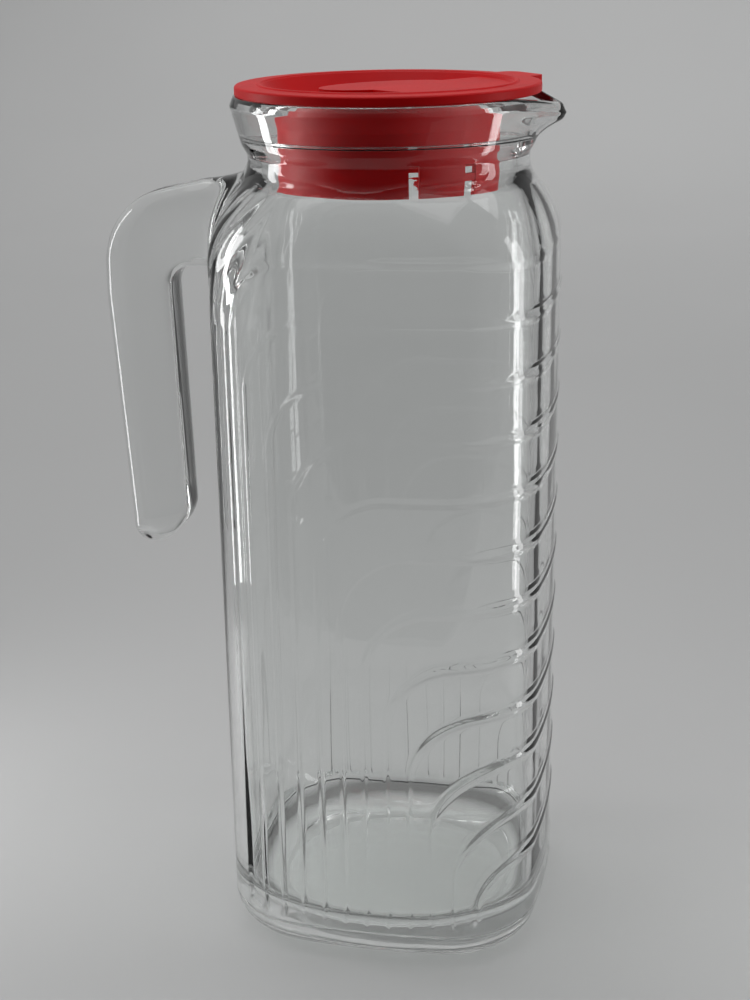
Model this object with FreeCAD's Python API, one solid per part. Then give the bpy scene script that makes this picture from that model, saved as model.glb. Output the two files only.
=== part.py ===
"""Large glass water jug with an open hook handle and a push-in plastic lid.

Frame: millimetres, +Z up, origin at the centre of the resting face.
+X points to the pouring spout, -X to the handle.
"""
import FreeCAD, Part
import math
import os

Vector = FreeCAD.Vector

# ---- driving dimensions ----------------------------------------------------

# body section: a square with bowed faces and large round corners
BODY_HALF = 51.5          # axis to the middle of a face
CORNER_OFFSET = 20.5      # axis to a corner arc's centre, along X and along Y
FACE_ARC_ANGLE = 5.8      # half the angle of each bowed face, degrees

# heights above the table
SHOULDER_START = 219.0
WAIST_HEIGHT = 247.2
RIM_TOP = 266.7
OVERALL_HEIGHT = 270.0    # with the lid on

# glass
HEEL_RADIUS = 11.0        # outer round from the wall to the resting face
WALL = 3.6
FLOOR = 6.8
INNER_HEEL_RADIUS = 10.0
WAIST_RADIUS = 42.3
BORE_RADIUS = 38.0
SHOULDER_ARC_ANGLE = 36.0

# nested L-shaped ridges pressed into the wall
RIDGE_COUNT = 12
RIDGE_WIDTH = 1.8
RIDGE_RELIEF = 0.5
RIDGE_TURN_RADIUS = 22.0
LAST_TURN_RADIUS = 15.0   # the shortest ridge has no room for a wider turn
RIDGE_BOTTOM = 13.5
FIRST_RIDGE_X = -41.0     # the outermost ridge, nearest the handle
RIDGE_PITCH_X = 6.9
FIRST_RIDGE_Z = 224.8
RIDGE_PITCH_Z = 17.3

# rim band and spout
BAND_BOTTOM = 252.8
BAND_BOTTOM_RADIUS = 44.1
BAND_LIP_HEIGHT = 263.8
BAND_LIP_RADIUS = 47.1
RIM_LAND_RADIUS = 45.9
LEDGE_HEIGHT = 255.8
LEDGE_RADIUS = 42.4
MOUTH_RADIUS = 43.9
SPOUT_REACH = 53.0        # axis to the spout's tip
SPOUT_TIP_HEIGHT = 263.4
SPOUT_DIP_START = 40.0    # the rim starts to dip towards the tip here
SPOUT_NOSE_RADIUS = 5.0
SPOUT_WALL = 2.8

# handle: an open hook in the plane of the spout
HANDLE_WIDTH = 16.0
HANDLE_EDGE_RADIUS = 5.5

# lid
LID_RADIUS = 45.5
FLANGE_FACE = 269.6
BEAD_RADIUS = 38.2
BEAD_WIDTH = 1.6
SKIRT_RADIUS = 33.0
SKIRT_WALL = 1.4
SKIRT_BOTTOM = 239.4
COLLAR_RADIUS = 34.2
COLLAR_BOTTOM = 259.0
RECESS_RADIUS = 37.2
RECESS_FLOOR = 257.5
TAB_ANGLE = 40.0          # tab, grip bar and pouring window share this axis
TAB_REACH = 50.0
TAB_WIDTH = 19.0
GRIP_TOP = 268.7
GRIP_HEAD_LENGTH = 44.0
GRIP_HEAD_WIDTH = 25.0
GRIP_NECK = 4.4           # from the tab's axis to the hollow behind the head
GRIP_FLARE = 9.0          # the same, where the grip runs into the flange
WINDOW_HALF_ANGLE = 33.0
WINDOW_HEIGHT = 8.0
SLOT_TOP = 251.6
SLOT_WIDTHS = (3.0, 4.2)
SLOT_ANGLES = (-66.5, -35.2)
SLOT_BRIDGE_HEIGHT = 245.2
SLOT_BRIDGE_SIZE = 2.0


# ---- shape helpers ---------------------------------------------------------

def on_plane_xz(x, z):
    return Vector(x, 0, z)


def polar(radius, degrees, z):
    angle = math.radians(degrees)
    return Vector(radius * math.cos(angle), radius * math.sin(angle), z)


def arc_about(centre, radius, start, end):
    """Arc in a level plane from one angle to another, in degrees."""
    middle = (start + end) / 2
    ends = [centre + polar(radius, angle, 0) for angle in (start, middle, end)]
    return Part.Arc(*ends).toShape()


def rounded_outline(corners):
    """Closed wire in the XZ plane through (x, z, radius) corners."""
    starts, ends, middles = [], [], []
    count = len(corners)
    for i, (x, z, radius) in enumerate(corners):
        here = on_plane_xz(x, z)
        to_last = on_plane_xz(*corners[i - 1][:2]) - here
        to_next = on_plane_xz(*corners[(i + 1) % count][:2]) - here
        to_last.normalize()
        to_next.normalize()
        half_turn = to_last.getAngle(to_next) / 2
        if radius == 0:
            starts.append(here)
            ends.append(here)
            middles.append(None)
            continue
        setback = radius / math.tan(half_turn)
        bisector = (to_last + to_next).normalize()
        centre = here + bisector * (radius / math.sin(half_turn))
        starts.append(here + to_last * setback)
        ends.append(here + to_next * setback)
        middles.append(centre - bisector * radius)
    edges = []
    for i in range(count):
        if middles[i] is not None:
            edges.append(Part.Arc(starts[i], middles[i], ends[i]).toShape())
        following = starts[(i + 1) % count]
        if (following - ends[i]).Length > 1e-6:
            edges.append(Part.LineSegment(ends[i], following).toShape())
    return Part.Wire(edges)


def revolved(corners):
    face = Part.Face(rounded_outline(corners))
    return face.revolve(Vector(0, 0, 0), Vector(0, 0, 1), 360)


def drum(radius, bottom, top):
    return Part.makeCylinder(radius, top - bottom, Vector(0, 0, bottom))


# ---- body section ----------------------------------------------------------

def section(half, offset, z):
    """Eight tangent arcs; an offset of 0 makes it a circle."""
    angle = FACE_ARC_ANGLE
    flatness = 1 / math.tan(math.radians(angle)) - 1
    face_radius = half + offset * flatness
    corner_radius = half - offset * (1 + math.tan(math.radians(angle / 2)))
    edges = []
    for quarter in range(4):
        turn = 90 * quarter
        face_centre = polar(-offset * flatness, turn, z)
        corner_centre = polar(offset * math.sqrt(2), turn + 45, z)
        edges.append(arc_about(face_centre, face_radius, turn - angle, turn + angle))
        edges.append(arc_about(corner_centre, corner_radius, turn + angle, turn + 90 - angle))
    return Part.Wire(edges)


def shoulder_sections(inset, waist_inset):
    """Level sections from the straight wall up to the round waist."""
    drop = BODY_HALF - WAIST_RADIUS
    sweep = math.radians(SHOULDER_ARC_ANGLE)
    total_radius = drop / (1 - math.cos(sweep))
    rise = WAIST_HEIGHT - SHOULDER_START
    share = (rise / math.sin(sweep)) / total_radius
    convex = 0.79 * total_radius
    concave = total_radius - convex
    profile = []
    steps = 6
    for i in range(steps + 1):
        turn = sweep * i / steps
        profile.append((convex * math.sin(turn), convex * (1 - math.cos(turn))))
    for i in range(steps - 1, -1, -1):
        turn = sweep * i / steps
        height = rise / share - concave * math.sin(turn)
        profile.append((height, drop - concave * (1 - math.cos(turn))))
    wires = []
    for height, pulled_in in profile:
        progress = pulled_in / drop
        half = BODY_HALF - pulled_in - inset - (waist_inset - inset) * progress
        offset = CORNER_OFFSET * (1 - progress)
        wires.append(section(half, offset, SHOULDER_START + height * share))
    return wires


def filled_vessel(inset, bottom, heel_radius, waist_inset):
    """Solid inside the outer surface, or inside a surface set in from it."""
    foot = Part.Face(section(BODY_HALF - inset, CORNER_OFFSET, bottom))
    trunk = foot.extrude(Vector(0, 0, SHOULDER_START - bottom))
    heel = [e for e in trunk.Edges if e.BoundBox.ZMax < bottom + 0.01]
    trunk = trunk.makeFillet(heel_radius, heel)
    shoulder = Part.makeLoft(shoulder_sections(inset, waist_inset), True, False)
    return trunk.fuse(shoulder)


# ---- jug -------------------------------------------------------------------

def ridge_gap(index):
    """Sunk strip between one ridge and the next one inside it."""
    half_width = RIDGE_WIDTH / 2
    far = BODY_HALF + 10
    x_out = FIRST_RIDGE_X + index * RIDGE_PITCH_X + half_width
    z_out = FIRST_RIDGE_Z - index * RIDGE_PITCH_Z - half_width
    x_in = FIRST_RIDGE_X + (index + 1) * RIDGE_PITCH_X - half_width
    z_in = FIRST_RIDGE_Z - (index + 1) * RIDGE_PITCH_Z + half_width
    outer_turn = RIDGE_TURN_RADIUS - half_width
    inner_turn = RIDGE_TURN_RADIUS + half_width
    corners = [(x_out, RIDGE_BOTTOM, 0), (x_out, z_out, outer_turn), (far, z_out, 0)]
    if index == RIDGE_COUNT - 1:
        corners = [(x_out, RIDGE_BOTTOM, 0), (x_out, z_out, LAST_TURN_RADIUS), (far, z_out, 0)]
        corners.append((far, RIDGE_BOTTOM, 0))
    elif index == RIDGE_COUNT - 2:
        corners += [(far, z_in, 0), (x_in, z_in, LAST_TURN_RADIUS), (x_in, RIDGE_BOTTOM, 0)]
    else:
        corners += [(far, z_in, 0), (x_in, z_in, inner_turn), (x_in, RIDGE_BOTTOM, 0)]
    face = Part.Face(rounded_outline(corners))
    face.translate(Vector(0, -2 * BODY_HALF, 0))
    return face.extrude(Vector(0, 4 * BODY_HALF, 0))


def teardrop(radius, reach, nose_radius, z):
    """A circle drawn out to a rounded nose on +X."""
    nose = reach - nose_radius
    angle = math.degrees(math.acos((radius - nose_radius) / nose))
    origin = Vector(0, 0, z)
    tip = Vector(nose, 0, z)
    edges = [arc_about(origin, radius, angle, 180), arc_about(origin, radius, 180, 360 - angle)]
    for side in (-1, 1):
        root = polar(radius, side * angle, z)
        end = tip + polar(nose_radius, side * angle, 0)
        edges.append(Part.LineSegment(root, end).toShape())
    edges.append(arc_about(tip, nose_radius, -angle, angle))
    return Part.Wire(Part.__sortEdges__(edges))


def band_radius(z):
    slope = (BAND_LIP_RADIUS - BAND_BOTTOM_RADIUS) / (BAND_LIP_HEIGHT - BAND_BOTTOM)
    return BAND_BOTTOM_RADIUS + slope * (z - BAND_BOTTOM)


def spout_outside():
    reaches = {253.6: 44.8, 256.4: 47.2, 259.2: 51.0, BAND_LIP_HEIGHT: SPOUT_REACH}
    wires = [teardrop(band_radius(z), reach, SPOUT_NOSE_RADIUS, z) for z, reach in reaches.items()]
    flare = Part.makeLoft(wires, True, False)
    brim = Part.Face(teardrop(BAND_LIP_RADIUS, SPOUT_REACH, SPOUT_NOSE_RADIUS, BAND_LIP_HEIGHT))
    return flare.fuse(brim.extrude(Vector(0, 0, RIM_TOP - BAND_LIP_HEIGHT)))


def spout_channel():
    nose_radius = SPOUT_NOSE_RADIUS - SPOUT_WALL + 1
    reaches = {LEDGE_HEIGHT: LEDGE_RADIUS + 0.3, 259.0: 46.4, 262.0: 49.0, RIM_TOP + 1: 51.0}
    rise = (MOUTH_RADIUS - LEDGE_RADIUS) / (RIM_TOP + 1 - LEDGE_HEIGHT)
    wires = []
    for z, reach in reaches.items():
        radius = LEDGE_RADIUS + rise * (z - LEDGE_HEIGHT)
        wires.append(teardrop(radius, reach, nose_radius, z))
    return Part.makeLoft(wires, True, False)


def dip_cutter():
    """Slopes the rim down to the spout's tip."""
    reach = SPOUT_REACH - SPOUT_DIP_START
    slope = (RIM_TOP - SPOUT_TIP_HEIGHT) / reach
    far = SPOUT_REACH + 10
    far_height = RIM_TOP - slope * (far - SPOUT_DIP_START)
    top = RIM_TOP + 10
    corners = [(SPOUT_DIP_START, RIM_TOP, 0), (far, far_height, 0), (far, top, 0)]
    corners += [(SPOUT_DIP_START, top, 0)]
    face = Part.Face(rounded_outline(corners))
    face.translate(Vector(0, -BODY_HALF, 0))
    return face.extrude(Vector(0, 2 * BODY_HALF, 0))


def outer_vessel():
    rim = revolved([
        (0, WAIST_HEIGHT, 0),
        (WAIST_RADIUS, WAIST_HEIGHT, 0),
        (WAIST_RADIUS, 249.6, 2.0),
        (BAND_BOTTOM_RADIUS, BAND_BOTTOM, 2.0),
        (BAND_LIP_RADIUS, BAND_LIP_HEIGHT, 1.0),
        (RIM_LAND_RADIUS, RIM_TOP, 0.6),
        (0, RIM_TOP, 0),
    ])
    vessel = filled_vessel(0, 0, HEEL_RADIUS, 0)
    core = filled_vessel(RIDGE_RELIEF, RIDGE_RELIEF, HEEL_RADIUS, RIDGE_RELIEF)
    for index in range(RIDGE_COUNT):
        vessel = vessel.cut(ridge_gap(index).cut(core))
    return vessel.fuse(rim).fuse(spout_outside()).cut(dip_cutter())


def cavity():
    waist_inset = WAIST_RADIUS - BORE_RADIUS
    room = filled_vessel(WALL, FLOOR, INNER_HEEL_RADIUS, waist_inset)
    mouth = revolved([
        (0, WAIST_HEIGHT, 0),
        (BORE_RADIUS, WAIST_HEIGHT, 0),
        (BORE_RADIUS, LEDGE_HEIGHT - 0.6, 1.2),
        (LEDGE_RADIUS, LEDGE_HEIGHT, 0.8),
        (MOUTH_RADIUS, RIM_TOP - 2, 0.5),
        (MOUTH_RADIUS + 1, RIM_TOP + 1, 0),
        (0, RIM_TOP + 1, 0),
    ])
    return room.fuse(mouth).fuse(spout_channel())


def jug_body(outside):
    return outside.cut(cavity()).removeSplitter()


def handle(outside):
    outline = rounded_outline([
        (-36.0, 245.0, 0),
        (-90.5, 233.5, 25.0),
        (-91.2, 205.0, 60.0),
        (-87.0, 121.4, 8.0),
        (-67.2, 123.0, 11.5),
        (-69.0, 214.2, 7.0),
        (-36.0, 214.2, 0),
    ])
    slab = Part.Face(outline)
    slab.translate(Vector(0, -HANDLE_WIDTH / 2, 0))
    slab = slab.extrude(Vector(0, HANDLE_WIDTH, 0))
    long_edges = [e for e in slab.Edges if e.BoundBox.YLength < 0.01 and e.BoundBox.XLength > 0.01]
    rounded = slab.makeFillet(HANDLE_EDGE_RADIUS, long_edges)
    return rounded.cut(outside)


# ---- lid -------------------------------------------------------------------

def grip_land(shrink, bottom, height):
    """Leaf-shaped head that broadens into the flange on the spout's side."""
    head = Part.Ellipse(Vector(0, 0, bottom), GRIP_HEAD_LENGTH / 2 - shrink, GRIP_HEAD_WIDTH / 2 - shrink)
    head_face = Part.Face(Part.Wire(head.toShape()))
    rim = RECESS_RADIUS + 1 - shrink
    neck, flare = GRIP_NECK - shrink, GRIP_FLARE - shrink
    hollow = Part.Arc(
        Vector(2, neck + 2, bottom), Vector(22, neck, bottom), Vector(rim + 2, flare, bottom)
    ).toShape()
    corners = [Vector(rim + 2, flare), Vector(rim + 2, -rim), Vector(-4 + shrink, -rim)]
    corners += [Vector(-12 + shrink, -6), Vector(2, neck + 2)]
    for corner in corners:
        corner.z = bottom
    edges = [hollow] + [Part.LineSegment(a, b).toShape() for a, b in zip(corners[:-1], corners[1:])]
    spread = Part.Face(Part.Wire(edges)).extrude(Vector(0, 0, height))
    spread = spread.common(drum(rim, bottom, bottom + height))
    return head_face.extrude(Vector(0, 0, height)).fuse(spread)


def grip(shrink, bottom, top):
    solid = grip_land(shrink, bottom, top - bottom)
    solid.rotate(Vector(0, 0, 0), Vector(0, 0, 1), TAB_ANGLE)
    return solid


def slot_cutter(angle, width):
    """A narrow gap through the skirt, open at the bottom."""
    start = Vector(SKIRT_RADIUS - 2 * SKIRT_WALL, -width / 2, SKIRT_BOTTOM - 1)
    box = Part.makeBox(3 * SKIRT_WALL, width, SLOT_TOP - SKIRT_BOTTOM + 1, start)
    box.rotate(Vector(0, 0, 0), Vector(0, 0, 1), angle)
    return box


def slot_bridge(angle, width):
    """The short strut that ties the two sides of a slot together."""
    start = Vector(SKIRT_RADIUS - SKIRT_WALL, -width, SLOT_BRIDGE_HEIGHT - SLOT_BRIDGE_SIZE / 2)
    bar = Part.makeBox(SKIRT_WALL - 0.3, 2 * width, SLOT_BRIDGE_SIZE, start)
    bar.rotate(Vector(0, 0, 0), Vector(0, 0, 1), angle)
    return bar


def pouring_window():
    """Wide gap in the skirt's lower edge on the tab's side."""
    outer = drum(SKIRT_RADIUS + 3, SKIRT_BOTTOM - 1, SKIRT_BOTTOM + WINDOW_HEIGHT)
    wedge_corners = [Vector(0, 0, SKIRT_BOTTOM - 2)]
    wedge_corners += [
        polar(3 * SKIRT_RADIUS, TAB_ANGLE + side * WINDOW_HALF_ANGLE, SKIRT_BOTTOM - 2)
        for side in (-1, 1)
    ]
    wedge_corners.append(wedge_corners[0])
    wedge = Part.Face(Part.makePolygon(wedge_corners)).extrude(Vector(0, 0, 2 * WINDOW_HEIGHT))
    return outer.common(wedge)


def lid():
    inner = SKIRT_RADIUS - SKIRT_WALL
    floor_bottom = RECESS_FLOOR - SKIRT_WALL
    shell = revolved([
        (0, RECESS_FLOOR, 0),
        (inner, RECESS_FLOOR, 1.5),
        (inner, RECESS_FLOOR + 5.0, 3.0),
        (RECESS_RADIUS, FLANGE_FACE, 0.5),
        (BEAD_RADIUS - BEAD_WIDTH / 2, FLANGE_FACE, 0),
        (BEAD_RADIUS - BEAD_WIDTH / 4, OVERALL_HEIGHT, 0.3),
        (BEAD_RADIUS + BEAD_WIDTH / 4, OVERALL_HEIGHT, 0.3),
        (BEAD_RADIUS + BEAD_WIDTH / 2, FLANGE_FACE, 0),
        (LID_RADIUS, FLANGE_FACE, 0.8),
        (LID_RADIUS, RIM_TOP, 0.5),
        (COLLAR_RADIUS + 3.0, RIM_TOP, 0),
        (COLLAR_RADIUS, RIM_TOP - 3.5, 0),
        (SKIRT_RADIUS, COLLAR_BOTTOM, 2.0),
        (SKIRT_RADIUS, SKIRT_BOTTOM, 0.4),
        (inner, SKIRT_BOTTOM, 0.4),
        (inner, floor_bottom, 1.0),
        (0, floor_bottom, 0),
    ])
    tab = Part.makeBox(20, TAB_WIDTH, FLANGE_FACE - RIM_TOP, Vector(TAB_REACH - 20, -TAB_WIDTH / 2, RIM_TOP))
    ends = [e for e in tab.Edges if e.BoundBox.ZLength > 1 and e.BoundBox.XMin > TAB_REACH - 1]
    tab = tab.makeFillet(4.0, ends)
    tab.rotate(Vector(0, 0, 0), Vector(0, 0, 1), TAB_ANGLE)
    tab = tab.cut(drum(LID_RADIUS - 3, 0, OVERALL_HEIGHT + 1))
    recess_plug = revolved([
        (0, RECESS_FLOOR - 0.5, 0),
        (inner + SKIRT_WALL / 2, RECESS_FLOOR - 0.5, 0),
        (inner + SKIRT_WALL / 2, RECESS_FLOOR + 4.7, 3.0),
        (RECESS_RADIUS + 0.8, FLANGE_FACE, 0),
        (0, FLANGE_FACE, 0),
    ])
    solid = shell.fuse(tab).fuse(grip(0, RECESS_FLOOR - 0.5, GRIP_TOP).common(recess_plug))
    solid = solid.cut(grip(SKIRT_WALL, floor_bottom - 1, GRIP_TOP - SKIRT_WALL).common(drum(inner, 0, RIM_TOP)))
    for angle, width in zip(SLOT_ANGLES, SLOT_WIDTHS):
        for side in (angle, 2 * TAB_ANGLE - angle):
            solid = solid.cut(slot_cutter(side, width))
    bridged = SLOT_ANGLES[1]
    for side in (bridged, 2 * TAB_ANGLE - bridged):
        solid = solid.fuse(slot_bridge(side, SLOT_WIDTHS[1]))
    return solid.cut(pouring_window())


# ---- write one file per sub-part -------------------------------------------

def main():
    os.makedirs("parts", exist_ok=True)
    outside = outer_vessel()
    nodes = {"jug_body": jug_body(outside), "handle": handle(outside), "lid": lid()}
    for name, shape in nodes.items():
        shape.exportStep("parts/" + name + ".step")
        print(name, "solids", len(shape.Solids), "valid", shape.isValid(), "mm3", round(shape.Volume))


main()
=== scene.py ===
"""Large square glass water jug with a red plastic lid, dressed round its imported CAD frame.

Lengths are in millimetres until a mesh is made; MM turns them into the frame's metres.
+X is the spout's side, -X the handle's, -Y the front face, and the base rests on Z = 0.
"""

import math

import bpy
import numpy as np
from mathutils import Matrix, Vector


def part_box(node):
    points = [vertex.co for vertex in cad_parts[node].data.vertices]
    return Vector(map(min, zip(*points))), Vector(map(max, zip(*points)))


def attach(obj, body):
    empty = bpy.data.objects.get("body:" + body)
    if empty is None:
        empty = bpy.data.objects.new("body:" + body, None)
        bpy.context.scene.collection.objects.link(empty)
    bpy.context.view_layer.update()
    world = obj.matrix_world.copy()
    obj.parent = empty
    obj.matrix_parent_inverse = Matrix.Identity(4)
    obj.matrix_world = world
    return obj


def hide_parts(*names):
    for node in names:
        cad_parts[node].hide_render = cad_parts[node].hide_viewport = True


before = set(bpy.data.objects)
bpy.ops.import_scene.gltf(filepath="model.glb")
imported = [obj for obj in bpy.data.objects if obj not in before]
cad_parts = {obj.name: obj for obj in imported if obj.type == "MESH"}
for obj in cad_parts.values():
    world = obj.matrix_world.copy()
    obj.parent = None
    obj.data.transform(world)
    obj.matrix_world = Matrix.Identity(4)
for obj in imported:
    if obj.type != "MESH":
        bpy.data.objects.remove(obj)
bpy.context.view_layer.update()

JUG_LOW, JUG_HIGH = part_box("jug_body")
MM = (JUG_HIGH.y - JUG_LOW.y) / 103.0      # the body is 103 mm across its flats

# ---- glass vessel ------------------------------------------------------------
BODY_HALF = 51.5
CORNER_OFFSET = 20.5
FACE_ARC = math.radians(5.8)
HEEL_RADIUS = 11.0
PUNT_RADIUS = 38.0
PUNT_RISE = 1.7
FLOOR_RISE = 1.2          # the floor swells a little towards the middle
SHOULDER_START = 219.0
SHOULDER_ARC = math.radians(36.0)
CONVEX_SHARE = 0.79
WAIST_HEIGHT = 247.2
WAIST_RADIUS = 42.3
BAND_BOTTOM = 252.8
BAND_BOTTOM_RADIUS = 44.1
BAND_LIP_HEIGHT = 263.8
BAND_LIP_RADIUS = 47.1
RIM_TOP = 266.7
RIM_LAND_RADIUS = 45.9
WALL = 3.6
FLOOR = 6.8
INNER_HEEL_RADIUS = 14.0
PAINTED_SHADE_RING_HEIGHT = 12.4         # height of the ring of painted shade inside the heel
PLAN_POWER = 3.3          # the rounded square's plan as a superellipse
BORE_RADIUS = 38.0
LEDGE_HEIGHT = 255.8
LEDGE_RADIUS = 42.4
MOUTH_RADIUS = 43.9
SPOUT_REACH = 53.0
SPOUT_NOSE = 5.0
CHANNEL_NOSE = 3.2
SPOUT_DIP_START = 40.0
SPOUT_TIP_HEIGHT = 263.4

# ---- ridges ------------------------------------------------------------------
RIDGE_COUNT = 12
RIDGE_FIRST_X = -41.0
RIDGE_PITCH_X = 6.9
RIDGE_FIRST_Z = 224.8
RIDGE_PITCH_Z = 17.3
RIDGE_TURN = 22.0
LAST_TURN = 15.0
RIDGE_BOTTOM = 13.5
RIDGE_HALF = 0.9
RIDGE_RELIEF = 0.21       # low on the front and back faces
SEAM_HALF = 1.3           # the outermost ridge stands up on the handle's corners
SEAM_RELIEF = 0.34
LEDGE_HALF = 2.1          # the ridges broaden and stand up as they pass round the spout's corners
LEDGE_RELIEF = 0.5
CLAW_HALF = 1.9           # the lowest ones do so already on the front and back faces
CLAW_RELIEF = 0.8
CLAW_COUNT = 5
FOOT_RELIEF = 0.42        # and all of them stand up a little more near the base
FOOT_TOP = 70.0
FOOT_FADE = 30.0
SPOUT_CORNER_X = 28.0     # where the spout's corners begin, and how long the change takes
SPOUT_CORNER_FADE = 16.0
HANDLE_CORNER_X = -31.0
HANDLE_CORNER_FADE = 9.0
CLAW_START_X = 4.0        # where the claws rise and where they sink again
CLAW_START_FADE = 20.0
CLAW_END_X = 34.0
CLAW_END_FADE = 12.0

# ---- handle ------------------------------------------------------------------
FOLD_PITCH = 9.0          # folds beside the root, in degrees round the axis
FOLD_DEPTH = 0.32
HANDLE_HALF = 8.0
HANDLE_START = -57.0
HANDLE_INNER_EDGE = 2.6
HANDLE_OUTER_EDGE = 6.0
HANDLE_CROWN = 0.07
TIP_OUTER = 129.4         # the hook's two edges begin to close at these heights
TIP_INNER = 134.5
TIP_BOTTOM = 122.0
TIP_LEAN = 1.0            # the lowest point lies this far outside the middle
ROOT_LOW = 209.0
ROOT_HIGH = 245.4
ROOT_HALF = 13.0
MOUND_REACH = 9.0         # how far from the root's edge the wall is relaxed
MOUND_ROUNDS = 40

# ---- colours -----------------------------------------------------------------
GLASS_COLOUR = (0.955, 0.965, 0.96, 1)
# painted shade: the glass turns this dark grey on a ring inside the heel, standing in for the shadow
# seen through the base
HEEL_PAINTED_SHADE_COLOUR = (0.16, 0.16, 0.157, 1)
SHADOW_COLOUR = (0.865, 0.875, 0.87, 1)
RED_DEEP = (0.60, 0.001, 0.003, 1)
RED_BRIGHT = (0.72, 0.002, 0.005, 1)
PAPER_DARK = (0.497, 0.500, 0.500, 1)
PAPER_LIGHT = (0.537, 0.540, 0.540, 1)

# ---- how finely the surfaces are divided --------------------------------------
FINE = 0.45               # round the wall, where the ridges run upright
COARSE = 1.6              # round the rest of it
ROW_STEP = 0.75           # up the wall
NECK_COLUMNS = 240
BASE_COLUMNS = 160
INNER_COLUMNS = 180


# ==== small curve helpers =======================================================

def smooth(t):
    t = np.clip(t, 0.0, 1.0)
    return t * t * (3 - 2 * t)


def spaced(start, end, step):
    """Evenly spaced values from start to end, the start left out."""
    count = max(1, int(round(abs(end - start) / step)))
    return [start + (end - start) * i / count for i in range(1, count + 1)]


def fillet_path(corners, step, turn_step=math.radians(12)):
    """Points along (a, b, radius) corners with each bend rounded by its radius."""
    points = [np.array(corners[0][:2], float)]
    for i in range(1, len(corners)):
        here = np.array(corners[i][:2], float)
        radius = corners[i][2]
        before = np.array(corners[i - 1][:2], float) - here
        arc = []
        target = here
        if radius and i < len(corners) - 1:
            after = np.array(corners[i + 1][:2], float) - here
            before /= np.linalg.norm(before)
            after /= np.linalg.norm(after)
            half_turn = math.acos(np.clip(before @ after, -1, 1)) / 2
            setback = radius / math.tan(half_turn)
            target = here + before * setback
            middle = (before + after) / np.linalg.norm(before + after)
            centre = here + middle * (radius / math.sin(half_turn))
            spoke = (target - centre) / radius
            side = spoke[0] * before[1] - spoke[1] * before[0]
            sweep = (math.pi - 2 * half_turn) * (-1 if side > 0 else 1)
            count = max(2, int(abs(sweep) / turn_step) + 1)
            for k in range(1, count + 1):
                a = sweep * k / count
                turned = np.array([
                    spoke[0] * math.cos(a) - spoke[1] * math.sin(a),
                    spoke[0] * math.sin(a) + spoke[1] * math.cos(a),
                ])
                arc.append(centre + turned * radius)
        start = points[-1]
        length = np.linalg.norm(target - start)
        if length > 1e-6:
            count = max(1, int(round(length / step)))
            points += [start + (target - start) * k / count for k in range(1, count + 1)]
        points += arc
    return np.array(points)


# ==== the vessel's level sections ===============================================

def section(half, offset, turns):
    """Points and outward directions of a rounded square, at 0..4 quarter turns round it."""
    flatness = 1 / math.tan(FACE_ARC) - 1
    face_radius = half + offset * flatness
    corner_radius = half - offset * (1 + math.tan(FACE_ARC / 2))
    face_length = face_radius * FACE_ARC
    corner_length = corner_radius * (math.pi / 2 - 2 * FACE_ARC)
    quarter_length = 2 * face_length + corner_length
    quarter = np.floor(turns)
    s = (turns - quarter) * quarter_length
    on_first = s < face_length
    on_last = s > face_length + corner_length
    angle = FACE_ARC + (s - face_length) / corner_radius
    angle = np.where(on_first, s / face_radius, angle)
    angle = np.where(on_last, math.pi / 2 - (quarter_length - s) / face_radius, angle)
    radius = np.where(on_first | on_last, face_radius, corner_radius)
    centre_x = np.where(on_first, -offset * flatness, offset)
    centre_x = np.where(on_last, 0.0, centre_x)
    centre_y = np.where(on_first, 0.0, offset)
    centre_y = np.where(on_last, -offset * flatness, centre_y)
    x = centre_x + radius * np.cos(angle)
    y = centre_y + radius * np.sin(angle)
    c, s_ = np.cos(quarter * math.pi / 2), np.sin(quarter * math.pi / 2)
    facing = angle + quarter * math.pi / 2
    return x * c - y * s_, x * s_ + y * c, np.cos(facing), np.sin(facing)


def teardrop(radius, reach, nose, angle):
    """Distance from the axis to a circle drawn out to a round nose at angle 0."""
    if reach <= radius + 1e-6:
        return np.full_like(angle, radius)
    centre = reach - nose
    tangent = math.acos((radius - nose) / centre)
    nose_end = math.atan2(nose * math.sin(tangent), centre + nose * math.cos(tangent))
    a = np.abs(angle)
    line = radius / np.cos(np.clip(a - tangent, -1.2, 1.2))
    ball = centre * np.cos(a) + np.sqrt(np.maximum(nose ** 2 - (centre * np.sin(a)) ** 2, 0))
    return np.where(a >= tangent, radius, np.where(a >= nose_end, line, ball))


def shoulder_rows(inset, waist_inset, step):
    """(half, offset, z) from the straight wall up to the round waist, the first left out."""
    drop = BODY_HALF - WAIST_RADIUS
    total = drop / (1 - math.cos(SHOULDER_ARC))
    rise = WAIST_HEIGHT - SHOULDER_START
    share = (rise / math.sin(SHOULDER_ARC)) / total
    convex = CONVEX_SHARE * total
    concave = total - convex
    profile = []
    for turn in np.linspace(0, SHOULDER_ARC, 40):
        profile.append((convex * math.sin(turn), convex * (1 - math.cos(turn))))
    for turn in np.linspace(SHOULDER_ARC, 0, 20)[1:]:
        up = rise / share - concave * math.sin(turn)
        profile.append((up, drop - concave * (1 - math.cos(turn))))
    heights, drops = np.array(profile).T
    rows = []
    for height in spaced(0, rise, step):
        pulled = float(np.interp(height / share, heights, drops))
        progress = pulled / drop
        half = BODY_HALF - pulled - inset - (waist_inset - inset) * progress
        rows.append((half, CORNER_OFFSET * (1 - progress), SHOULDER_START + height))
    return rows


# ==== relief on the glass ========================================================

def inside_turn(x, z, index):
    """How far a point lies inside ridge number index, which runs up and then turns to +X."""
    turn = LAST_TURN if index >= RIDGE_COUNT - 1 else RIDGE_TURN
    across = x - (RIDGE_FIRST_X + index * RIDGE_PITCH_X)
    below = RIDGE_FIRST_Z - index * RIDGE_PITCH_Z - z
    in_corner = (across < turn) & (below < turn)
    round_part = turn - np.hypot(np.minimum(across - turn, 0), np.minimum(below - turn, 0))
    return np.where(in_corner, round_part, np.minimum(across, below))


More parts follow.
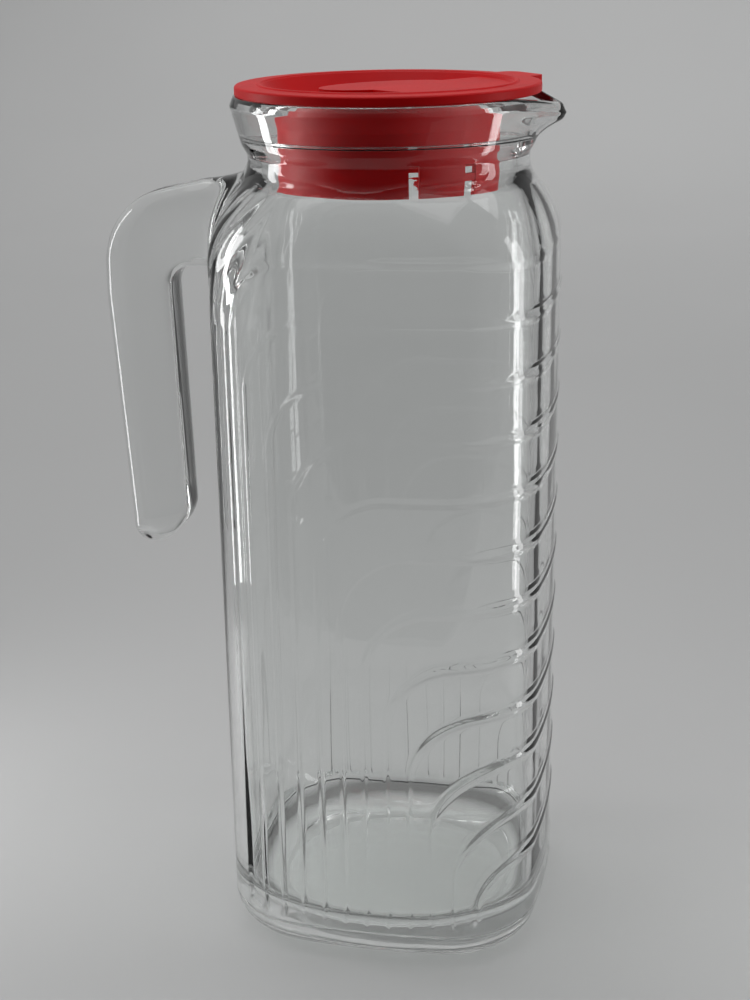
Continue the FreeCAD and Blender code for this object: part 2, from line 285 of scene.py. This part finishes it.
def levelness(x, z, index):
    """0 on the upright part of a ridge, 1 on its level part, between them in the turn."""
    turn = LAST_TURN if index >= RIDGE_COUNT - 1 else RIDGE_TURN
    across = turn - (x - (RIDGE_FIRST_X + index * RIDGE_PITCH_X))
    below = turn - (RIDGE_FIRST_Z - index * RIDGE_PITCH_Z - z)
    return smooth(np.arctan2(np.maximum(below, 0), np.maximum(across, 0)) / math.radians(60))


def rounded(away):
    """The round profile of a ridge: 1 on its line, 0 from 1 half width away."""
    return np.where(away < 1, np.cos(np.minimum(away, 1) * math.pi / 2) ** 2, 0)


def ridge_relief(x, z):
    """Relief of the outer face: 0 on a crest, below 0 between crests, above 0 on a claw."""
    round_corner = smooth((x - SPOUT_CORNER_X) / SPOUT_CORNER_FADE)
    by_handle = smooth((HANDLE_CORNER_X - x) / HANDLE_CORNER_FADE)
    half = RIDGE_HALF + (LEDGE_HALF - RIDGE_HALF) * round_corner
    half = half + (SEAM_HALF - RIDGE_HALF) * by_handle
    relief = RIDGE_RELIEF + (LEDGE_RELIEF - RIDGE_RELIEF) * round_corner
    relief = relief + (SEAM_RELIEF - RIDGE_RELIEF) * by_handle
    relief = relief + FOOT_RELIEF * smooth((FOOT_TOP - z) / FOOT_FADE) * (1 - round_corner)
    first = inside_turn(x, z, 0)
    sunk = smooth(first / (1.5 * half))
    crest = np.zeros_like(x)
    claw = np.zeros_like(x)
    for index in range(RIDGE_COUNT):
        away = np.abs(inside_turn(x, z, index))
        crest = np.maximum(crest, rounded(away / half))
        if index >= RIDGE_COUNT - CLAW_COUNT:
            claw = np.maximum(claw, rounded(away / CLAW_HALF) * levelness(x, z, index))
    claw *= CLAW_RELIEF * smooth((x - CLAW_START_X) / CLAW_START_FADE)
    claw *= 1 - smooth((x - CLAW_END_X) / CLAW_END_FADE)
    fade = smooth((z - RIDGE_BOTTOM + 1.5) / 4.0)
    return (claw - relief * sunk * (1 - crest)) * fade


def root_folds(x, y, z):
    """Soft folds that run up the shoulder's corners beside the handle."""
    bearing = np.degrees(np.arctan2(np.abs(y), -x))
    window = smooth((bearing - 14) / 8) * (1 - smooth((bearing - 52) / 10))
    window = window * smooth((z - 198) / 16) * (1 - smooth((z - 238) / 8))
    wave = np.cos(np.radians((bearing - 0.5 * (z - 220)) * 360 / FOLD_PITCH))
    return -FOLD_DEPTH * window * (0.5 + 0.5 * wave)


def glass_ripple(x, y, z):
    """The faint unevenness that the mould's plunger leaves on the inner wall."""
    round_ = np.arctan2(y, x)
    wave = 0.5 * np.sin(11 * round_ + 0.012 * z + 0.7)
    wave += 0.35 * np.sin(17 * round_ - 0.02 * z + 2.1)
    wave += 0.3 * np.sin(0.045 * z + 3 * round_)
    wave += 0.25 * np.sin(0.11 * z - 5 * round_ + 1.3)
    return 0.11 * wave


def rim_ring(radius, z, turns, inner):
    """A round row of the neck or rim, drawn out to the spout on its band."""
    angle = turns * math.pi / 2
    angle = np.where(angle > math.pi, angle - 2 * math.pi, angle)
    if inner:
        out = 6.1 * float(smooth((z - 255.5) / 7.5))
        r = teardrop(radius, radius + out, CHANNEL_NOSE, angle) if z > LEDGE_HEIGHT - 0.4 else radius
    else:
        out = (SPOUT_REACH - BAND_LIP_RADIUS) * float(smooth((z - 253.2) / 7.8))
        r = teardrop(radius, radius + out, SPOUT_NOSE, angle)
    x, y = r * np.cos(angle), r * np.sin(angle)
    slope = (RIM_TOP - SPOUT_TIP_HEIGHT) / (SPOUT_REACH - SPOUT_DIP_START)
    dip = slope * np.maximum(x - SPOUT_DIP_START, 0) ** 1.15 / 13 ** 0.15
    drop = dip * float(smooth((z - 256) / (RIM_TOP - 256)))
    return np.stack([x, y, np.full_like(x, z) - drop], axis=1)


# ==== mesh assembly ==============================================================

class Surface:
    """Rings of points joined into one closed skin."""

    def __init__(self):
        self.points = []
        self.count = 0
        self.faces = []

    def add(self, points):
        points = np.asarray(points, float).reshape(-1, 3)
        first = self.count
        self.points.append(points)
        self.count += len(points)
        return np.arange(first, self.count)

    def join(self, low, high, closed=True):
        """Quads between two rows with the same number of points."""
        if closed:
            low, high = np.append(low, low[0]), np.append(high, high[0])
        for a, b, c, d in zip(low[:-1], low[1:], high[1:], high[:-1]):
            self.faces.append((int(a), int(b), int(c), int(d)))

    def zip(self, low, low_turns, high, high_turns):
        """Triangles between two closed rows with different numbers of points."""
        i = j = 0
        low_at, high_at = np.append(low_turns, 4.0), np.append(high_turns, 4.0)
        while i < len(low) or j < len(high):
            a, b = int(low[i % len(low)]), int(high[j % len(high)])
            step_low = j >= len(high) or (i < len(low) and low_at[i + 1] <= high_at[j + 1])
            if step_low:
                i += 1
                self.faces.append((a, int(low[i % len(low)]), b))
            else:
                j += 1
                self.faces.append((a, int(high[j % len(high)]), b))

    def cap(self, ring, centre):
        middle = int(self.add([centre])[0])
        around = np.append(ring, ring[0])
        for a, b in zip(around[:-1], around[1:]):
            self.faces.append((int(a), int(b), middle))

    def build(self, name):
        points = np.concatenate(self.points) * MM
        used = np.zeros(len(points), bool)
        for face in self.faces:
            used[list(face)] = True
        renumber = np.cumsum(used) - 1
        faces = [tuple(int(renumber[i]) for i in face) for face in self.faces]
        mesh = bpy.data.meshes.new(name)
        mesh.from_pydata(points[used].tolist(), [], faces)
        mesh.validate()
        made = bpy.data.objects.new(name, mesh)
        bpy.context.scene.collection.objects.link(made)
        bpy.context.view_layer.objects.active = made
        made.select_set(True)
        bpy.ops.object.mode_set(mode="EDIT")
        bpy.ops.mesh.select_all(action="SELECT")
        bpy.ops.mesh.normals_make_consistent(inside=False)
        bpy.ops.object.mode_set(mode="OBJECT")
        made.select_set(False)
        mesh.shade_smooth()
        return made


def wall_turns():
    """Columns round the ribbed wall: close together where the ridges run upright."""
    dense = np.linspace(0, 4, 8001)[:-1]
    x, y, _, _ = section(BODY_HALF, CORNER_OFFSET, dense)
    upright = (x > RIDGE_FIRST_X - 4) & (x < 40) & (np.abs(y) > 30)
    step = np.where(upright, FINE, COARSE)
    length = 4 * 88.1 / len(dense)
    total = np.cumsum(length / step)
    count = 2 * int(round(total[-1] / 2))
    return np.interp(np.arange(count) / count * total[-1], np.append(0, total), np.append(dense, 4.0))


# ==== handle =====================================================================

def handle_rails():
    """Inner and outer edge points of the hook's sections, from the root to the tip."""
    outer = fillet_path([
        (-36.0, 245.0, 0), (-90.5, 233.5, 25.0), (-91.2, 205.0, 60.0),
        (-87.0, TIP_OUTER, 0), (-86.9, TIP_OUTER - 3.0, 0),
    ], 0.8, math.radians(2))
    pivot = np.array([-62.0, 207.2])
    bend = 7.0
    inner_top, inner_low = np.array([-69.0, 207.2]), np.array([-67.2, TIP_INNER])
    inner, out = [], []
    for x in np.linspace(HANDLE_START, pivot[0], 6):
        inner.append((x, pivot[1] + bend))
        out.append((x, np.interp(-x, -outer[:, 0][:60], outer[:, 1][:60])))
    bearing = np.degrees(np.arctan2(outer[:, 1] - pivot[1], outer[:, 0] - pivot[0])) % 360
    reach = np.hypot(outer[:, 0] - pivot[0], outer[:, 1] - pivot[1])
    for angle in np.linspace(90, 180, 34)[1:]:
        a = math.radians(angle)
        way = np.array([math.cos(a), math.sin(a)])
        inner.append(tuple(pivot + bend * way))
        out.append(tuple(pivot + float(np.interp(angle, bearing, reach)) * way))
    for z in spaced(pivot[1], inner_low[1], 1.6):
        share = (inner_top[1] - z) / (inner_top[1] - inner_low[1])
        inner.append((inner_top[0] + (inner_low[0] - inner_top[0]) * share, z))
        level = pivot[1] + (z - pivot[1]) * (pivot[1] - TIP_OUTER) / (pivot[1] - TIP_INNER)
        out.append((float(np.interp(-level, -outer[:, 1], outer[:, 0])), level))
    return np.array(inner), np.array(out)


def handle_section(inner, out, half, rows, columns, squeeze=1.0):
    """One closed loop round the hook, starting at the inner edge on the +Y side."""
    thick = float(np.linalg.norm(out - inner))
    way = (out - inner) / thick
    edge_in = min(HANDLE_INNER_EDGE * squeeze, thick * 0.45, half * 0.9)
    edge_out = min(HANDLE_OUTER_EDGE * squeeze, thick * 0.5, half * 0.9)
    outline = fillet_path([
        (0, 0, 0), (half, 0, edge_in), (half, thick, edge_out), (0, thick, 0),
    ], 0.5, math.radians(8))
    across, depth = outline[:, 0], outline[:, 1]
    middle = (depth / thick * 2 - 1)
    across = across * (1 - HANDLE_CROWN * middle ** 2)
    lengths = np.concatenate([[0], np.cumsum(np.hypot(np.diff(across), np.diff(depth)))])
    first_half = len(across) // 2
    corner_in = float(np.interp(half - edge_in * 0.3, across[:first_half], lengths[:first_half]))
    corner_in = max(corner_in, half - edge_in)
    total = lengths[-1]
    corner_out = total - (half - edge_out) - edge_out * math.pi / 4
    half_low = columns / 2
    spots = np.concatenate([
        np.linspace(0, corner_in, int(half_low) + 1),
        np.linspace(corner_in, corner_out, rows + 1)[1:],
        np.linspace(corner_out, total, int(half_low) + 1)[1:],
    ])
    a = np.interp(spots, lengths, across)
    d = np.interp(spots, lengths, depth)
    minus = np.stack([inner[0] + way[0] * d, -a, inner[1] + way[1] * d], axis=1)
    plus = minus * np.array([1, -1, 1])
    n = int(half_low)
    # bottom from +Y to -Y, up the -Y side, top from -Y to +Y, down the +Y side
    bottom = np.concatenate([plus[:n + 1][::-1], minus[1:n + 1]])
    side_minus = minus[n + 1:n + rows + 1]
    top = np.concatenate([minus[n + rows + 1:], plus[n + rows:-1][::-1]])
    side_plus = plus[n + 1:n + rows][::-1]
    return np.concatenate([bottom, side_minus, top, side_plus])


def add_handle(skin, loop, inward, rows, columns):
    """Draws the glass out of the wall at the root and round the hook to its tip."""
    inner, out = handle_rails()
    first = handle_section(inner[0], out[0], HANDLE_HALF, rows, columns)
    start = np.concatenate(skin.points)[loop]
    gap = np.linalg.norm(first - start, axis=1)
    leave = inward * (gap * 0.9)[:, None]
    axis = np.array([-0.98, 0.0, -0.12])
    arrive = axis[None, :] * (gap * 0.9)[:, None]
    last = loop
    drawn = []
    steps = 9
    for k in range(1, steps):
        t = k / steps
        h00, h10 = 2 * t ** 3 - 3 * t ** 2 + 1, t ** 3 - 2 * t ** 2 + t
        h01, h11 = -2 * t ** 3 + 3 * t ** 2, t ** 3 - t ** 2
        ring = skin.add(start * h00 + leave * h10 + first * h01 + arrive * h11)
        skin.join(last, ring)
        drawn.append(ring)
        last = ring
    for a, b in zip(inner, out):
        ring = skin.add(handle_section(a, b, HANDLE_HALF, rows, columns))
        skin.join(last, ring)
        last = ring
    middle = (inner[-1] + out[-1]) / 2
    tip_drop = middle[1] - TIP_BOTTOM
    for psi in np.linspace(0, math.radians(84), 15)[1:]:
        keep = math.cos(psi)
        centre = middle - np.array([TIP_LEAN, tip_drop]) * math.sin(psi)
        a = centre + (inner[-1] - middle) * keep
        b = centre + (out[-1] - middle) * keep
        half = HANDLE_HALF * (0.25 + 0.75 * math.cos(psi) ** 0.55)
        ring = skin.add(handle_section(a, b, half, rows, columns, keep))
        skin.join(last, ring)
        last = ring
    skin.cap(last, [middle[0] - TIP_LEAN, 0, TIP_BOTTOM])
    return np.concatenate(drawn)


def soften(skin, loop, drawn, reach, rounds):
    """Relaxes the mound at the handle's root, out to a given distance from its edge."""
    points = np.concatenate(skin.points)
    quads = np.array([face for face in skin.faces if len(face) == 4])
    edges = np.concatenate([quads[:, [k, (k + 1) % 4]] for k in range(4)])
    edges = np.concatenate([edges, edges[:, ::-1]])
    edge_points = points[loop]
    weight = np.zeros(len(points))
    near = np.where((points[:, 0] < -20) & (points[:, 2] > ROOT_LOW - 20))[0]
    for i in near:
        away = math.sqrt(float(((edge_points - points[i]) ** 2).sum(axis=1).min()))
        weight[i] = 1 - float(smooth(away / reach))
    weight[drawn] = 1.0
    edges = edges[weight[edges[:, 0]] > 0]
    chosen = np.unique(edges[:, 0])
    share = np.bincount(edges[:, 0], minlength=len(points))[chosen][:, None]
    for _ in range(rounds):
        total = np.zeros_like(points)
        np.add.at(total, edges[:, 0], points[edges[:, 1]])
        pull = total[chosen] / share - points[chosen]
        points[chosen] += 0.5 * weight[chosen][:, None] * pull
    skin.points = [points]


# ==== the glass as one skin ======================================================

def outer_wall(skin, below, below_turns):
    """Ribbed wall and shoulder, left open where the handle grows out."""
    turns = wall_turns()
    heights = [HEEL_RADIUS] + spaced(HEEL_RADIUS, SHOULDER_START, ROW_STEP)
    rows = [(BODY_HALF, CORNER_OFFSET, z) for z in heights]
    rows += shoulder_rows(0, 0, 1.0)[:-1]
    grid = []
    for half, offset, z in rows:
        x, y, nx, ny = section(half, offset, turns)
        relief = ridge_relief(x, np.full_like(x, z)) + root_folds(x, y, z)
        grid.append(skin.add(np.stack([x + nx * relief, y + ny * relief, np.full_like(x, z)], axis=1)))
    heights = np.array([z for _, _, z in rows])
    x, y, _, _ = section(BODY_HALF, CORNER_OFFSET, turns)
    root_columns = np.where((x < 0) & (np.abs(y) < ROOT_HALF))[0]
    left, right = root_columns[0], root_columns[-1]
    low = int(np.argmin(np.abs(heights - ROOT_LOW)))
    high = int(np.argmin(np.abs(heights - ROOT_HIGH)))
    skin.zip(below, below_turns, grid[0], turns)
    count = len(turns)
    for r in range(len(rows) - 1):
        if low <= r < high:
            kept = [c for c in range(count) if not left <= c < right]
        else:
            kept = range(count)
        for c in kept:
            d = (c + 1) % count
            corners = (grid[r][c], grid[r][d], grid[r + 1][d], grid[r + 1][c])
            skin.faces.append(tuple(int(corner) for corner in corners))
    spots = [(low, c) for c in range(left, right)]
    spots += [(r, right) for r in range(low, high)]
    spots += [(high, c) for c in range(right, left, -1)]
    spots += [(r, left) for r in range(high, low, -1)]
    loop = np.array([grid[r][c] for r, c in spots])
    points = np.concatenate(skin.points)
    inward = []
    for r, c in spots:
        step_r = 1 if r == low else -1 if r == high else 0
        step_c = 1 if c == left else -1 if c == right else 0
        way = points[grid[r + step_r][c + step_c]] - points[grid[r][c]]
        inward.append(way / np.linalg.norm(way))
    drawn = add_handle(skin, loop, np.array(inward), high - low, right - left)
    soften(skin, loop, drawn, MOUND_REACH, MOUND_ROUNDS)
    return grid[-1], turns


def make_glass():
    skin = Surface()
    even = {n: np.arange(n) * 4.0 / n for n in (BASE_COLUMNS, NECK_COLUMNS, INNER_COLUMNS)}

    # underside, from the middle out to the top of the heel
    base = fillet_path([
        (4.0, PUNT_RISE, 0), (12.0, PUNT_RISE, 60.0), (PUNT_RADIUS, 0.0, 12.0),
        (BODY_HALF, 0.0, HEEL_RADIUS), (BODY_HALF, HEEL_RADIUS, 0),
    ], 2.0, math.radians(5))
    last = None
    for half, z in base:
        squareness = smooth((half - PUNT_RADIUS) / (BODY_HALF - HEEL_RADIUS - PUNT_RADIUS))
        offset = CORNER_OFFSET * float(squareness)
        x, y, _, _ = section(half, offset, even[BASE_COLUMNS])
        ring = skin.add(np.stack([x, y, np.full_like(x, z)], axis=1))
        if last is None:
            skin.cap(ring, [0, 0, PUNT_RISE])
        else:
            skin.join(last, ring)
        last = ring

    last, turns = outer_wall(skin, last, even[BASE_COLUMNS])

    # waist, rim band and mouth
    rim = fillet_path([
        (WAIST_RADIUS, WAIST_HEIGHT, 0), (WAIST_RADIUS, 249.6, 2.0),
        (BAND_BOTTOM_RADIUS, BAND_BOTTOM, 2.0), (BAND_LIP_RADIUS, BAND_LIP_HEIGHT, 1.2),
        (RIM_LAND_RADIUS, RIM_TOP, 0.8), (MOUTH_RADIUS + 0.6, RIM_TOP, 0.5),
    ], 0.9)
    mouth = fillet_path([
        (MOUTH_RADIUS + 0.6, RIM_TOP, 0), (MOUTH_RADIUS, RIM_TOP - 2, 0.5),
        (LEDGE_RADIUS, LEDGE_HEIGHT, 0.6), (BORE_RADIUS, LEDGE_HEIGHT - 0.6, 0.5),
        (BORE_RADIUS, WAIST_HEIGHT, 0),
    ], 0.9)
    rings = [(r, z, False) for r, z in rim] + [(r, z, True) for r, z in mouth[1:]]
    for radius, z, inner in rings:
        ring = skin.add(rim_ring(radius, z, even[NECK_COLUMNS], inner))
        if turns is not None:
            skin.zip(last, turns, ring, even[NECK_COLUMNS])
            turns = None
        else:
            skin.join(last, ring)
        last = ring

    # inner shoulder, wall, heel and floor
    rows = shoulder_rows(WALL, WAIST_RADIUS - BORE_RADIUS, 1.4)[::-1][1:]
    half = BODY_HALF - WALL
    rows += [(half, CORNER_OFFSET, z) for z in spaced(SHOULDER_START, FLOOR + INNER_HEEL_RADIUS, 2.0)]
    heel = fillet_path([
        (half, FLOOR + INNER_HEEL_RADIUS, 0), (half, FLOOR, INNER_HEEL_RADIUS), (4.0, FLOOR, 0),
    ], 2.0, math.radians(6))
    for h, z in heel[1:]:
        swell = FLOOR_RISE * (1 - float(smooth(h / (half - INNER_HEEL_RADIUS))))
        rows.append((h, CORNER_OFFSET * (h / half) ** 12, z + swell))
    turns = even[NECK_COLUMNS]
    for h, offset, z in rows:
        x, y, nx, ny = section(h, offset, even[INNER_COLUMNS])
        level = float(smooth((z - FLOOR) / 12) * smooth((WAIST_HEIGHT - z) / 20))
        ripple = glass_ripple(x, y, z) * level
        ring = skin.add(np.stack([x + nx * ripple, y + ny * ripple, np.full_like(x, z)], axis=1))
        if turns is not None:
            skin.zip(last, turns, ring, even[INNER_COLUMNS])
            turns = None
        else:
            skin.join(last, ring)
        last = ring
    skin.cap(last, [0, 0, FLOOR + FLOOR_RISE])
    return skin.build("jug_glass")


# ==== materials ===================================================================

def material(name):
    made = bpy.data.materials.new(name)
    made.use_nodes = True
    nodes = made.node_tree.nodes
    return made, nodes, made.node_tree.links, nodes["Principled BSDF"]


def noise(nodes, links, scale, detail, stretch=(1, 1, 1)):
    where = nodes.new("ShaderNodeTexCoord")
    mapping = nodes.new("ShaderNodeMapping")
    mapping.inputs["Scale"].default_value = stretch
    made = nodes.new("ShaderNodeTexNoise")
    made.inputs["Scale"].default_value = scale
    made.inputs["Detail"].default_value = detail
    links.new(where.outputs["Object"], mapping.inputs["Vector"])
    links.new(mapping.outputs["Vector"], made.inputs["Vector"])
    return made.outputs["Fac"]


def remap(nodes, links, source, low, high, from_low=0.0, from_high=1.0):
    made = nodes.new("ShaderNodeMapRange")
    made.inputs["From Min"].default_value = from_low
    made.inputs["From Max"].default_value = from_high
    made.inputs["To Min"].default_value = low
    made.inputs["To Max"].default_value = high
    links.new(source, made.inputs["Value"])
    return made.outputs["Result"]


def math_node(nodes, links, operation, first, second=None):
    made = nodes.new("ShaderNodeMath")
    made.operation = operation
    for slot, value in enumerate((first, second)):
        if isinstance(value, (int, float)):
            made.inputs[slot].default_value = value
        elif value is not None:
            links.new(value, made.inputs[slot])
    return made.outputs["Value"]


def bump(nodes, links, height, distance, strength):
    made = nodes.new("ShaderNodeBump")
    made.inputs["Distance"].default_value = distance
    made.inputs["Strength"].default_value = strength
    links.new(height, made.inputs["Height"])
    return made.outputs["Normal"]


def let_lamps_through(nodes, links, shader, tint):
    """Shadow rays pass the glass, so that it doesn't stand in its own dark shadow."""
    clear = nodes.new("ShaderNodeBsdfTransparent")
    clear.inputs["Color"].default_value = tint
    mix = nodes.new("ShaderNodeMixShader")
    path = nodes.new("ShaderNodeLightPath")
    links.new(path.outputs["Is Shadow Ray"], mix.inputs["Fac"])
    links.new(shader.outputs["BSDF"], mix.inputs[1])
    links.new(clear.outputs["BSDF"], mix.inputs[2])
    links.new(mix.outputs["Shader"], nodes["Material Output"].inputs["Surface"])


def painted_shade_and_underside_masks(nodes, links):
    """1 on the ring of painted shade round the floor's edge, and 1 on the faintly stippled underside.
    """
    where = nodes.new("ShaderNodeTexCoord")
    split = nodes.new("ShaderNodeSeparateXYZ")
    links.new(where.outputs["Object"], split.inputs["Vector"])
    sides = []
    for axis in "XY":
        size = math_node(nodes, links, "ABSOLUTE", split.outputs[axis])
        size = math_node(nodes, links, "MULTIPLY", size, 1 / (BODY_HALF * MM))
        sides.append(math_node(nodes, links, "POWER", size, PLAN_POWER))
    reach = math_node(nodes, links, "POWER", math_node(nodes, links, "ADD", *sides), 1 / PLAN_POWER)
    inner_edge = (BODY_HALF - WALL / 2) / BODY_HALF
    inside = remap(nodes, links, reach, 1.0, 0.0, inner_edge - 0.01, inner_edge + 0.01)
    height = split.outputs["Z"]
    above = remap(nodes, links, height, 0.0, 1.0, (PAINTED_SHADE_RING_HEIGHT - 3.0) * MM, (PAINTED_SHADE_RING_HEIGHT - 0.8) * MM)
    below = remap(nodes, links, height, 1.0, 0.0, (PAINTED_SHADE_RING_HEIGHT + 0.8) * MM, (PAINTED_SHADE_RING_HEIGHT + 3.2) * MM)
    # the ring of painted shade: a band of heights just inside the inner wall
    ring = math_node(nodes, links, "MULTIPLY", above, below)
    ring = math_node(nodes, links, "MULTIPLY", ring, inside)
    underside = remap(nodes, links, height, 1.0, 0.0, 2.0 * MM, 5.0 * MM)
    return ring, underside


def clear_glass():
    made, nodes, links, shader = material("clear_glass")
    shader.inputs["IOR"].default_value = 1.5
    # the glass's colour turns to painted shade on a ring inside the heel
    tint = nodes.new("ShaderNodeMix")
    tint.data_type = "RGBA"
    tint.inputs["A"].default_value = GLASS_COLOUR
    tint.inputs["B"].default_value = HEEL_PAINTED_SHADE_COLOUR
    ring, underside = painted_shade_and_underside_masks(nodes, links)
    links.new(ring, tint.inputs["Factor"])
    links.new(remap(nodes, links, underside, 1.0, 0.82), shader.inputs["Transmission Weight"])
    links.new(tint.outputs["Result"], shader.inputs["Base Color"])
    smudge = noise(nodes, links, 22, 5)
    links.new(remap(nodes, links, smudge, 0.0, 0.035, 0.52, 0.8), shader.inputs["Roughness"])
    wave = noise(nodes, links, 60, 2, (1, 1, 0.35))
    links.new(bump(nodes, links, wave, 0.0004, 0.06), shader.inputs["Normal"])
    let_lamps_through(nodes, links, shader, SHADOW_COLOUR)
    return made


def red_plastic():
    made, nodes, links, shader = material("red_plastic")
    mottle = noise(nodes, links, 45, 4)
    ramp = nodes.new("ShaderNodeValToRGB")
    ramp.color_ramp.elements[0].position = 0.3
    ramp.color_ramp.elements[0].color = RED_DEEP
    ramp.color_ramp.elements[1].position = 0.75
    ramp.color_ramp.elements[1].color = RED_BRIGHT
    links.new(mottle, ramp.inputs["Fac"])
    links.new(ramp.outputs["Color"], shader.inputs["Base Color"])
    shader.inputs["Specular IOR Level"].default_value = 0.15
    grain = noise(nodes, links, 900, 3)
    links.new(remap(nodes, links, grain, 0.36, 0.5), shader.inputs["Roughness"])
    links.new(bump(nodes, links, grain, 0.0002, 0.12), shader.inputs["Normal"])
    return made


# ==== stage =========================================================================

def pale_sweep():
    """Floor that curves up into a backdrop behind the jug."""
    width, front, flat = 3.0, -0.30, 1.3
    curve, steepest = 0.9, 62
    profile = [(front, 0.0), (flat, 0.0)]
    for k in range(1, 21):
        a = math.radians(steepest * k / 20)
        profile.append((flat + curve * math.sin(a), curve * (1 - math.cos(a))))
    points, faces = [], []
    for y, z in profile:
        points += [(-width, y, z), (width, y, z)]
    for k in range(len(profile) - 1):
        faces.append((2 * k, 2 * k + 1, 2 * k + 3, 2 * k + 2))
    mesh = bpy.data.meshes.new("sweep")
    mesh.from_pydata(points, [], faces)
    mesh.shade_smooth()
    made = bpy.data.objects.new("sweep", mesh)
    bpy.context.scene.collection.objects.link(made)
    paint, nodes, links, shader = material("pale_paper")
    tone = noise(nodes, links, 3, 2)
    ramp = nodes.new("ShaderNodeValToRGB")
    ramp.color_ramp.elements[0].color = PAPER_DARK
    ramp.color_ramp.elements[1].color = PAPER_LIGHT
    links.new(tone, ramp.inputs["Fac"])
    links.new(ramp.outputs["Color"], shader.inputs["Base Color"])
    shader.inputs["Roughness"].default_value = 0.85
    mesh.materials.append(paint)
    return made


def soft_light(name, place, aim, width, height, radiance, spread=180):
    """A soft rectangle of light; its power follows from its size and brightness."""
    data = bpy.data.lights.new(name, "AREA")
    data.shape = "RECTANGLE"
    data.size, data.size_y = width, height
    data.energy = radiance * math.pi * width * height
    data.spread = math.radians(spread)
    made = bpy.data.objects.new(name, data)
    bpy.context.scene.collection.objects.link(made)
    made.location = place
    way = Vector(aim) - Vector(place)
    made.rotation_mode = "QUATERNION"
    made.rotation_quaternion = way.to_track_quat("-Z", "Y")
    return made


def standing_lamp(name, bearing, distance, width, radiance):
    """A tall soft lamp that stands on the floor beside the jug."""
    a = math.radians(bearing)
    low, high = 0.02, 0.36
    place = (distance * math.cos(a), distance * math.sin(a) - 0.04, (low + high) / 2)
    return soft_light(name, place, (0, -0.04, place[2]), width, high - low, radiance)


def set_world(bright, dark):
    """A pale room, a little brighter on the left, with the side in front of the jug dark."""
    world = bpy.data.worlds.new("studio")
    bpy.context.scene.world = world
    world.use_nodes = True
    nodes, links = world.node_tree.nodes, world.node_tree.links
    where = nodes.new("ShaderNodeTexCoord")
    split = nodes.new("ShaderNodeSeparateXYZ")
    links.new(where.outputs["Generated"], split.inputs["Vector"])
    level = remap(nodes, links, split.outputs["Y"], dark, bright, -0.82, -0.45)
    side = remap(nodes, links, split.outputs["X"], 1.3, 0.8, -1.0, 1.0)
    both = math_node(nodes, links, "MULTIPLY", level, side)
    links.new(both, nodes["Background"].inputs["Color"])


def set_camera():
    """The photograph's view: a little to the right of the front, looking down."""
    place = Vector((101.844, -499.120, 313.541)) * MM
    forward = Vector((-0.19972, 0.92464, -0.32426)).normalized()
    up = Vector((-0.05241, 0.32038, 0.94584))
    right = forward.cross(up).normalized()
    up = right.cross(forward)
    data = bpy.data.cameras.new("camera")
    data.sensor_width = 36.0
    data.lens = 60.4
    data.clip_start = 0.01
    made = bpy.data.objects.new("camera", data)
    bpy.context.scene.collection.objects.link(made)
    made.matrix_world = Matrix.Translation(place) @ Matrix((right, up, -forward)).transposed().to_4x4()
    bpy.context.scene.camera = made


# ==== put it together =================================================================

glass = make_glass()
glass.data.materials.append(clear_glass())
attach(glass, "jug")
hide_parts("jug_body", "handle")

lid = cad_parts["lid"]
lid.data.materials.clear()
lid.data.materials.append(red_plastic())

pale_sweep()
set_world(0.33, 0.02)
standing_lamp("left_lamp", 172, 0.30, 0.045, 7.0)
standing_lamp("right_lamp", 13, 0.30, 0.04, 4.8)
soft_light("top_panel", (-0.1, 0.15, 1.3), (0, 0.15, 0.0), 1.2, 1.2, 0.85)
soft_light("top_lamp", (-0.15, 0.0, 1.3), (0, 0.1, 0.0), 0.26, 0.26, 5.0)
soft_light("back_panel", (0.0, 1.0, 1.9), (0, 1.9, 0.5), 2.4, 1.2, 1.3)
soft_light("far_panel", (0.0, 1.5, 1.5), (0, 2.1, 0.1), 2.4, 1.2, 0.35, 90)
bpy.context.scene.view_settings.view_transform = "Standard"
set_camera()
